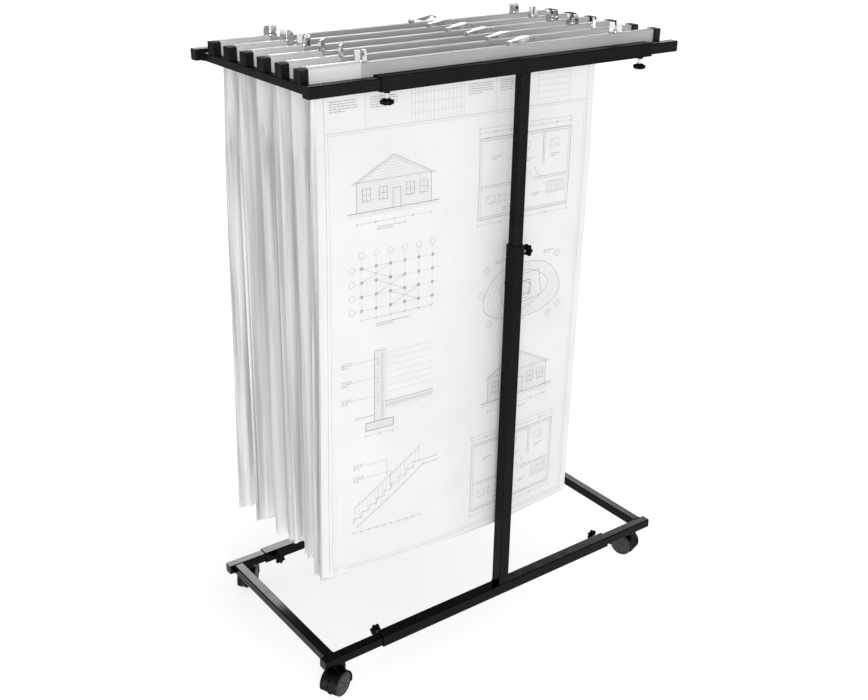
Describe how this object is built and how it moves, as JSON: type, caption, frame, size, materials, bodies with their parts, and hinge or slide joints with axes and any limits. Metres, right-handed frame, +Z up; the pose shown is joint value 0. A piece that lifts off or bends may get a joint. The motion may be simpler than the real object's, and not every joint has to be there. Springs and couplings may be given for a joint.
{
  "type": "plan hanging rack",
  "caption": "Mobile plan rack: height- and width-adjustable black square-tube frame on twin-wheel casters, carrying hanging clamps with packs of large drawing sheets.",
  "frame": {"origin": "on the floor, under the front post's axis in X and midway between the front and back sleeves in Y", "axes": "+X along the clamps to the viewer's right, +Y from the front sleeve to the back one, +Z up"},
  "size_m": [0.8832, 0.4681, 1.2071],
  "materials": {
    "black_powder_coat": "satin black powder coat on square steel tube",
    "wheel_plastic": "moulded black nylon",
    "caster_plastic": "semi-gloss moulded black",
    "knob_plastic": "moulded black head on a bright screw",
    "bar_aluminium": "satin anodised extrusion",
    "hook_plastic": "fine-grained moulded black",
    "lever_steel": "bright pressed steel",
    "wing_chrome": "polished chrome",
    "paper": "uncoated white plan paper"
  },
  "bodies": {
    "base_frame": {"base_tees": "black_powder_coat"},
    "top_frame": {"top_tees": "black_powder_coat"},
    "top_end_left": {"top_end_left": "black_powder_coat"},
    "top_end_right": {"top_end_right": "black_powder_coat"},
    "base_end_left": {"base_end_left": "black_powder_coat"},
    "base_end_right": {"base_end_right": "black_powder_coat"},
    "clamp_1": {"clamp_bar_1": "bar_aluminium", "clamp_hooks_1": "hook_plastic", "plans_1": "paper"},
    "lever_1": {"clamp_lever_1": "lever_steel"},
    "wing_left_1": {"wing_screw_left_1": "wing_chrome"},
    "wing_right_1": {"wing_screw_right_1": "wing_chrome"},
    "clamp_2": {"clamp_bar_2": "bar_aluminium", "clamp_hooks_2": "hook_plastic", "plans_2": "paper"},
    "lever_2": {"clamp_lever_2": "lever_steel"},
    "wing_left_2": {"wing_screw_left_2": "wing_chrome"},
    "wing_right_2": {"wing_screw_right_2": "wing_chrome"},
    "clamp_3": {"clamp_bar_3": "bar_aluminium", "clamp_hooks_3": "hook_plastic", "plans_3": "paper"},
    "lever_3": {"clamp_lever_3": "lever_steel"},
    "wing_left_3": {"wing_screw_left_3": "wing_chrome"},
    "wing_right_3": {"wing_screw_right_3": "wing_chrome"},
    "clamp_4": {"clamp_bar_4": "bar_aluminium", "clamp_hooks_4": "hook_plastic", "plans_4": "paper"},
    "lever_4": {"clamp_lever_4": "lever_steel"},
    "wing_left_4": {"wing_screw_left_4": "wing_chrome"},
    "wing_right_4": {"wing_screw_right_4": "wing_chrome"},
    "clamp_5": {"clamp_bar_5": "bar_aluminium", "clamp_hooks_5": "hook_plastic", "plans_5": "paper"},
    "lever_5": {"clamp_lever_5": "lever_steel"},
    "wing_left_5": {"wing_screw_left_5": "wing_chrome"},
    "wing_right_5": {"wing_screw_right_5": "wing_chrome"},
    "clamp_6": {"clamp_bar_6": "bar_aluminium", "clamp_hooks_6": "hook_plastic", "plans_6": "paper"},
    "lever_6": {"clamp_lever_6": "lever_steel"},
    "wing_left_6": {"wing_screw_left_6": "wing_chrome"},
    "wing_right_6": {"wing_screw_right_6": "wing_chrome"},
    "caster_front_left": {"caster_body_front_left": "caster_plastic"},
    "wheels_front_left": {"caster_wheels_front_left": "wheel_plastic"},
    "top_knob_front_left": {"top_knob_front_left": "knob_plastic"},
    "base_knob_front_left": {"base_knob_front_left": "knob_plastic"},
    "caster_front_right": {"caster_body_front_right": "caster_plastic"},
    "wheels_front_right": {"caster_wheels_front_right": "wheel_plastic"},
    "top_knob_front_right": {"top_knob_front_right": "knob_plastic"},
    "base_knob_front_right": {"base_knob_front_right": "knob_plastic"},
    "caster_back_left": {"caster_body_back_left": "caster_plastic"},
    "wheels_back_left": {"caster_wheels_back_left": "wheel_plastic"},
    "top_knob_back_left": {"top_knob_back_left": "knob_plastic"},
    "base_knob_back_left": {"base_knob_back_left": "knob_plastic"},
    "caster_back_right": {"caster_body_back_right": "caster_plastic"},
    "wheels_back_right": {"caster_wheels_back_right": "wheel_plastic"},
    "top_knob_back_right": {"top_knob_back_right": "knob_plastic"},
    "base_knob_back_right": {"base_knob_back_right": "knob_plastic"},
    "post_knob_front": {"post_knob_front": "knob_plastic"},
    "post_knob_back": {"post_knob_back": "knob_plastic"}
  },
  "joints": [
    {"name": "height_slide", "type": "slide", "parent": "base_frame", "child": "top_frame", "axis": [0, 0, 1], "range_m": [-0.12, 0.25]},
    {"name": "base_left_slide", "type": "slide", "parent": "base_frame", "child": "base_end_left", "axis": [-1, 0, 0], "range_m": [-0.032, 0.1]},
    {"name": "base_right_slide", "type": "slide", "parent": "base_frame", "child": "base_end_right", "axis": [1, 0, 0], "range_m": [-0.078, 0.1]},
    {"name": "top_left_slide", "type": "slide", "parent": "top_frame", "child": "top_end_left", "axis": [-1, 0, 0], "range_m": [0, 0.01]},
    {"name": "top_right_slide", "type": "slide", "parent": "top_frame", "child": "top_end_right", "axis": [1, 0, 0], "range_m": [0, 0.01]},
    {"name": "clamp_1_lift", "type": "slide", "parent": "top_frame", "child": "clamp_1", "axis": [0, 0, 1], "range_m": [0, 0.1]},
    {"name": "clamp_2_lift", "type": "slide", "parent": "top_frame", "child": "clamp_2", "axis": [0, 0, 1], "range_m": [0, 0.1]},
    {"name": "clamp_3_lift", "type": "slide", "parent": "top_frame", "child": "clamp_3", "axis": [0, 0, 1], "range_m": [0, 0.1]},
    {"name": "clamp_4_lift", "type": "slide", "parent": "top_frame", "child": "clamp_4", "axis": [0, 0, 1], "range_m": [0, 0.1]},
    {"name": "clamp_5_lift", "type": "slide", "parent": "top_frame", "child": "clamp_5", "axis": [0, 0, 1], "range_m": [0, 0.1]},
    {"name": "clamp_6_lift", "type": "slide", "parent": "top_frame", "child": "clamp_6", "axis": [0, 0, 1], "range_m": [0, 0.1]},
    {"name": "lever_1_hinge", "type": "hinge", "parent": "clamp_1", "child": "lever_1", "pos_m": [0.0035, -0.1475, 1.1913], "axis": [0, -1, 0], "range_deg": [0, 75]},
    {"name": "lever_2_hinge", "type": "hinge", "parent": "clamp_2", "child": "lever_2", "pos_m": [0.0035, -0.0885, 1.1913], "axis": [0, -1, 0], "range_deg": [0, 75]},
    {"name": "lever_3_hinge", "type": "hinge", "parent": "clamp_3", "child": "lever_3", "pos_m": [0.0035, -0.0295, 1.1913], "axis": [0, -1, 0], "range_deg": [0, 75]},
    {"name": "lever_4_hinge", "type": "hinge", "parent": "clamp_4", "child": "lever_4", "pos_m": [0.0035, 0.0295, 1.1913], "axis": [0, -1, 0], "range_deg": [0, 75]},
    {"name": "lever_5_hinge", "type": "hinge", "parent": "clamp_5", "child": "lever_5", "pos_m": [0.0035, 0.0885, 1.1913], "axis": [0, -1, 0], "range_deg": [0, 75]},
    {"name": "lever_6_hinge", "type": "hinge", "parent": "clamp_6", "child": "lever_6", "pos_m": [0.0035, 0.1475, 1.1913], "axis": [0, -1, 0], "range_deg": [0, 75]},
    {"name": "swivel_front_left", "type": "hinge", "parent": "base_end_left", "child": "caster_front_left", "pos_m": [-0.396, -0.193, 0.062], "axis": [0, 0, 1], "continuous": true},
    {"name": "swivel_front_right", "type": "hinge", "parent": "base_end_right", "child": "caster_front_right", "pos_m": [0.396, -0.193, 0.062], "axis": [0, 0, 1], "continuous": true},
    {"name": "swivel_back_left", "type": "hinge", "parent": "base_end_left", "child": "caster_back_left", "pos_m": [-0.396, 0.193, 0.062], "axis": [0, 0, 1], "continuous": true},
    {"name": "swivel_back_right", "type": "hinge", "parent": "base_end_right", "child": "caster_back_right", "pos_m": [0.396, 0.193, 0.062], "axis": [0, 0, 1], "continuous": true},
    {"name": "roll_front_left", "type": "hinge", "parent": "caster_front_left", "child": "wheels_front_left", "pos_m": [-0.41269, -0.19974, 0.025], "axis": [0.3746, -0.9272, 0], "continuous": true},
    {"name": "roll_front_right", "type": "hinge", "parent": "caster_front_right", "child": "wheels_front_right", "pos_m": [0.39044, -0.17588, 0.025], "axis": [-0.9511, -0.309, 0], "continuous": true},
    {"name": "roll_back_left", "type": "hinge", "parent": "caster_back_left", "child": "wheels_back_left", "pos_m": [-0.38443, 0.20679, 0.025], "axis": [-0.766, 0.6428, 0], "continuous": true},
    {"name": "roll_back_right", "type": "hinge", "parent": "caster_back_right", "child": "wheels_back_right", "pos_m": [0.38984, 0.17609, 0.025], "axis": [0.9397, -0.342, 0], "continuous": true},
    {"name": "wing_left_1_turn", "type": "hinge", "parent": "clamp_1", "child": "wing_left_1", "pos_m": [-0.3065, -0.1462, 1.1875], "axis": [0, 0, 1], "range_deg": [0, 720]},
    {"name": "wing_right_1_turn", "type": "hinge", "parent": "clamp_1", "child": "wing_right_1", "pos_m": [0.2635, -0.1462, 1.1875], "axis": [0, 0, 1], "range_deg": [0, 720]},
    {"name": "wing_left_2_turn", "type": "hinge", "parent": "clamp_2", "child": "wing_left_2", "pos_m": [-0.3065, -0.0872, 1.1875], "axis": [0, 0, 1], "range_deg": [0, 720]},
    {"name": "wing_right_2_turn", "type": "hinge", "parent": "clamp_2", "child": "wing_right_2", "pos_m": [0.2635, -0.0872, 1.1875], "axis": [0, 0, 1], "range_deg": [0, 720]},
    {"name": "wing_left_3_turn", "type": "hinge", "parent": "clamp_3", "child": "wing_left_3", "pos_m": [-0.3065, -0.0282, 1.1875], "axis": [0, 0, 1], "range_deg": [0, 720]},
    {"name": "wing_right_3_turn", "type": "hinge", "parent": "clamp_3", "child": "wing_right_3", "pos_m": [0.2635, -0.0282, 1.1875], "axis": [0, 0, 1], "range_deg": [0, 720]},
    {"name": "wing_left_4_turn", "type": "hinge", "parent": "clamp_4", "child": "wing_left_4", "pos_m": [-0.3065, 0.0308, 1.1875], "axis": [0, 0, 1], "range_deg": [0, 720]},
    {"name": "wing_right_4_turn", "type": "hinge", "parent": "clamp_4", "child": "wing_right_4", "pos_m": [0.2635, 0.0308, 1.1875], "axis": [0, 0, 1], "range_deg": [0, 720]},
    {"name": "wing_left_5_turn", "type": "hinge", "parent": "clamp_5", "child": "wing_left_5", "pos_m": [-0.3065, 0.0898, 1.1875], "axis": [0, 0, 1], "range_deg": [0, 720]},
    {"name": "wing_right_5_turn", "type": "hinge", "parent": "clamp_5", "child": "wing_right_5", "pos_m": [0.2635, 0.0898, 1.1875], "axis": [0, 0, 1], "range_deg": [0, 720]},
    {"name": "wing_left_6_turn", "type": "hinge", "parent": "clamp_6", "child": "wing_left_6", "pos_m": [-0.3065, 0.1488, 1.1875], "axis": [0, 0, 1], "range_deg": [0, 720]},
    {"name": "wing_right_6_turn", "type": "hinge", "parent": "clamp_6", "child": "wing_right_6", "pos_m": [0.2635, 0.1488, 1.1875], "axis": [0, 0, 1], "range_deg": [0, 720]},
    {"name": "post_knob_front_turn", "type": "hinge", "parent": "base_frame", "child": "post_knob_front", "pos_m": [0.0125, -0.193, 0.816], "axis": [1, 0, 0], "range_deg": [0, 720]},
    {"name": "post_knob_back_turn", "type": "hinge", "parent": "base_frame", "child": "post_knob_back", "pos_m": [-0.0345, 0.193, 0.816], "axis": [1, 0, 0], "range_deg": [0, 720]},
    {"name": "top_knob_front_left_turn", "type": "hinge", "parent": "top_frame", "child": "top_knob_front_left", "pos_m": [-0.287, -0.193, 1.1485], "axis": [0, 0, -1], "range_deg": [0, 720]},
    {"name": "top_knob_front_right_turn", "type": "hinge", "parent": "top_frame", "child": "top_knob_front_right", "pos_m": [0.287, -0.193, 1.1485], "axis": [0, 0, -1], "range_deg": [0, 720]},
    {"name": "top_knob_back_left_turn", "type": "hinge", "parent": "top_frame", "child": "top_knob_back_left", "pos_m": [-0.334, 0.193, 1.1485], "axis": [0, 0, -1], "range_deg": [0, 720]},
    {"name": "top_knob_back_right_turn", "type": "hinge", "parent": "top_frame", "child": "top_knob_back_right", "pos_m": [0.24, 0.193, 1.1485], "axis": [0, 0, -1], "range_deg": [0, 720]},
    {"name": "base_knob_front_left_turn", "type": "hinge", "parent": "base_frame", "child": "base_knob_front_left", "pos_m": [-0.296, -0.1805, 0.072], "axis": [0, 1, 0], "range_deg": [0, 720]},
    {"name": "base_knob_front_right_turn", "type": "hinge", "parent": "base_frame", "child": "base_knob_front_right", "pos_m": [0.296, -0.1805, 0.072], "axis": [0, 1, 0], "range_deg": [0, 720]},
    {"name": "base_knob_back_left_turn", "type": "hinge", "parent": "base_frame", "child": "base_knob_back_left", "pos_m": [-0.328, 0.1805, 0.072], "axis": [0, -1, 0], "range_deg": [0, 720]},
    {"name": "base_knob_back_right_turn", "type": "hinge", "parent": "base_frame", "child": "base_knob_back_right", "pos_m": [0.234, 0.1805, 0.072], "axis": [0, -1, 0], "range_deg": [0, 720]}
  ]
}
